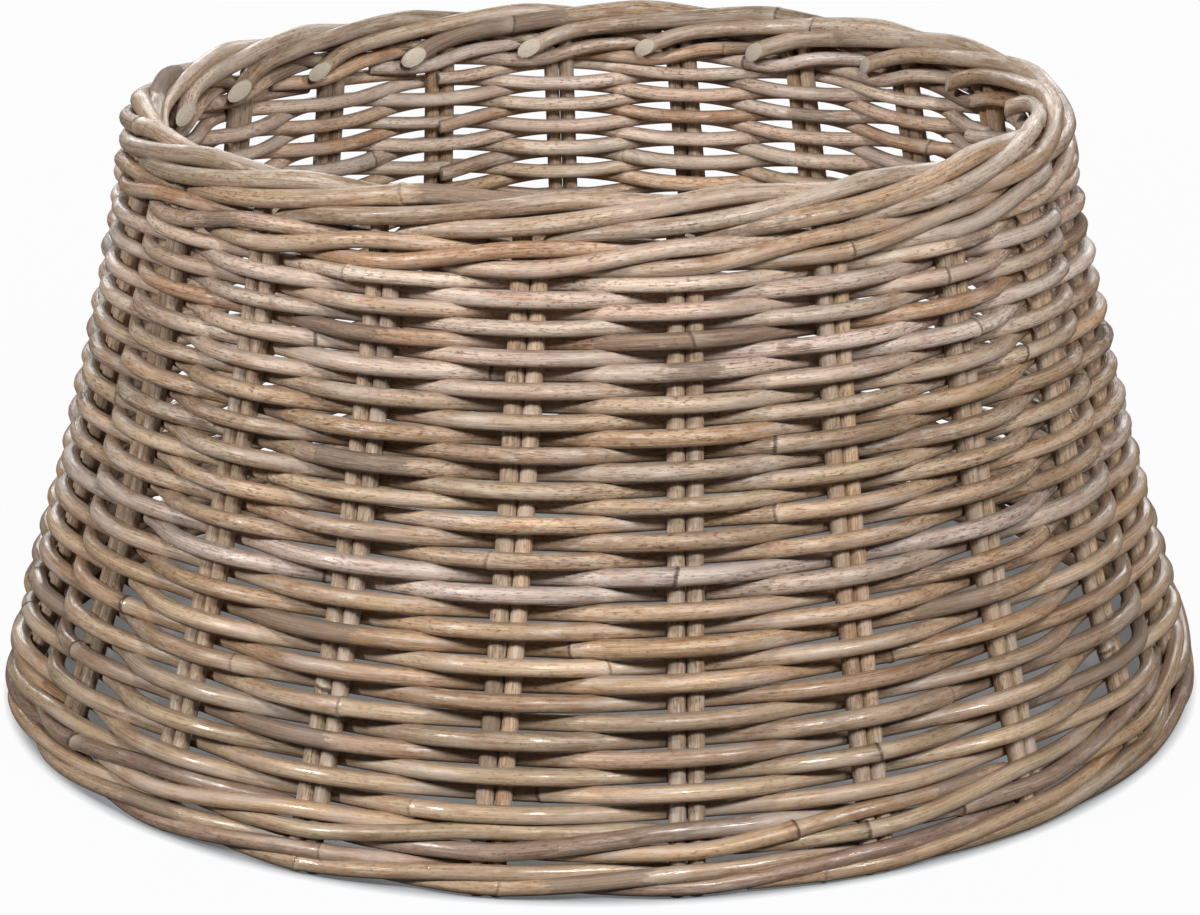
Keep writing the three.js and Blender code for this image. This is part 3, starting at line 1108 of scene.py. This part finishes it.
# Each lamp: its place, the height above the floor's middle that it looks at, its side and power.
LAMPS = {
    "left_lamp": ((-2.1, -1.4, 1.6), 0.12, 0.32, 50),
    "right_lamp": ((1.7, -1.8, 1.6), 0.12, 0.32, 31),
    "front_lamp": ((0.4, -2.0, 1.6), 0.16, 0.32, 33),
    "back_left_lamp": ((-0.8, 2.5, 1.3), 0.14, 1.4, 27),
    "back_right_lamp": ((0.9, 2.4, 1.3), 0.14, 1.4, 22),
}

CAMERA_PLACE = (0.0006, -1.604, 0.6167)
CAMERA_DOWN = 17.83
CAMERA_ROLL = -0.00673
SENSOR = 36
LENS = 106.42


def stage_floor():
    """A flat square floor. It stays grey inside the collar, and turns white to the camera outside.

    The white is a glow for the camera alone, mixed in by the distance from the floor's middle.
    """
    reach = FLOOR_REACH
    corners = [(-reach, -reach, 0), (reach, -reach, 0), (reach, reach, 0), (-reach, reach, 0)]
    mesh = bpy.data.meshes.new("floor")
    mesh.from_pydata(corners, [], [(0, 1, 2, 3)])
    floor = bpy.data.objects.new("floor", mesh)
    bpy.context.scene.collection.objects.link(floor)
    material = bpy.data.materials.new("floor_white")
    material.use_nodes = True
    nodes, links = material.node_tree.nodes, material.node_tree.links
    shader = nodes["Principled BSDF"]
    rays = nodes.new("ShaderNodeLightPath")
    paint = nodes.new("ShaderNodeMix")
    paint.data_type = "RGBA"
    paint.inputs[6].default_value = FLOOR_LIT
    paint.inputs[7].default_value = FLOOR_SEEN
    links.new(rays.outputs["Is Camera Ray"], paint.inputs[0])
    links.new(paint.outputs[2], shader.inputs["Base Color"])
    shader.inputs["Roughness"].default_value = FLOOR_ROUGH
    shader.inputs["Specular IOR Level"].default_value = FLOOR_GLOSS
    glow = nodes.new("ShaderNodeEmission")
    glow.inputs[0].default_value = WHITE
    place_at = nodes.new("ShaderNodeTexCoord")
    length = nodes.new("ShaderNodeVectorMath")
    length.operation = "LENGTH"
    links.new(place_at.outputs["Object"], length.inputs[0])
    outside = nodes.new("ShaderNodeMapRange")
    for i, v in enumerate((INSIDE_END, OUTSIDE_START, INSIDE_WHITE, OUTSIDE_WHITE)):
        outside.inputs[i + 1].default_value = v
    links.new(length.outputs["Value"], outside.inputs[0])
    seen = nodes.new("ShaderNodeMath")
    seen.operation = "MULTIPLY"
    links.new(rays.outputs["Is Camera Ray"], seen.inputs[0])
    links.new(outside.outputs[0], seen.inputs[1])
    mix = nodes.new("ShaderNodeMixShader")
    links.new(seen.outputs[0], mix.inputs[0])
    links.new(shader.outputs[0], mix.inputs[1])
    links.new(glow.outputs[0], mix.inputs[2])
    links.new(mix.outputs[0], nodes["Material Output"].inputs["Surface"])
    mesh.materials.append(material)


def soft_lamp(name, place_at, aim, size, power):
    """A square area lamp that looks from one point at another."""
    data = bpy.data.lights.new(name, "AREA")
    data.shape = "SQUARE"
    data.size = size
    data.energy = power
    lamp = bpy.data.objects.new(name, data)
    bpy.context.scene.collection.objects.link(lamp)
    direction = np.array(aim) - np.array(place_at)
    direction = direction / np.linalg.norm(direction)
    lamp.rotation_euler = Vector(direction).to_track_quat("-Z", "Y").to_euler()
    lamp.location = place_at


def studio():
    """A sky that is nearly dark as light and white to the camera, and the lamps.

    Three small lamps stand in front, at the left, the right and the middle, and two large soft ones
    behind.
    """
    world = bpy.data.worlds.new("studio")
    bpy.context.scene.world = world
    world.use_nodes = True
    nodes, links = world.node_tree.nodes, world.node_tree.links
    background = nodes["Background"]
    background.inputs[0].default_value = WHITE
    rays = nodes.new("ShaderNodeLightPath")
    strength = nodes.new("ShaderNodeMapRange")
    for i, v in enumerate((0, 1, SKY_LIGHT, SKY_SEEN)):
        strength.inputs[i + 1].default_value = v
    links.new(rays.outputs["Is Camera Ray"], strength.inputs[0])
    links.new(strength.outputs[0], background.inputs[1])
    for name, (place_at, aim_height, size, power) in LAMPS.items():
        soft_lamp(name, place_at, (0, 0, aim_height), size, power)


def camera():
    """The photograph's camera: its place, its tilt down and its roll, fitted to the weave."""
    data = bpy.data.cameras.new("photo_camera")
    data.sensor_width = SENSOR
    data.lens = LENS
    view = bpy.data.objects.new("photo_camera", data)
    bpy.context.scene.collection.objects.link(view)
    tilt = Matrix.Rotation(math.radians(90 - CAMERA_DOWN), 4, "X")
    roll = Matrix.Rotation(CAMERA_ROLL, 4, "Z")
    view.matrix_world = Matrix.Translation(CAMERA_PLACE) @ tilt @ roll
    bpy.context.scene.camera = view


stage_floor()
studio()
camera()
bpy.context.scene.view_settings.view_transform = "Standard"
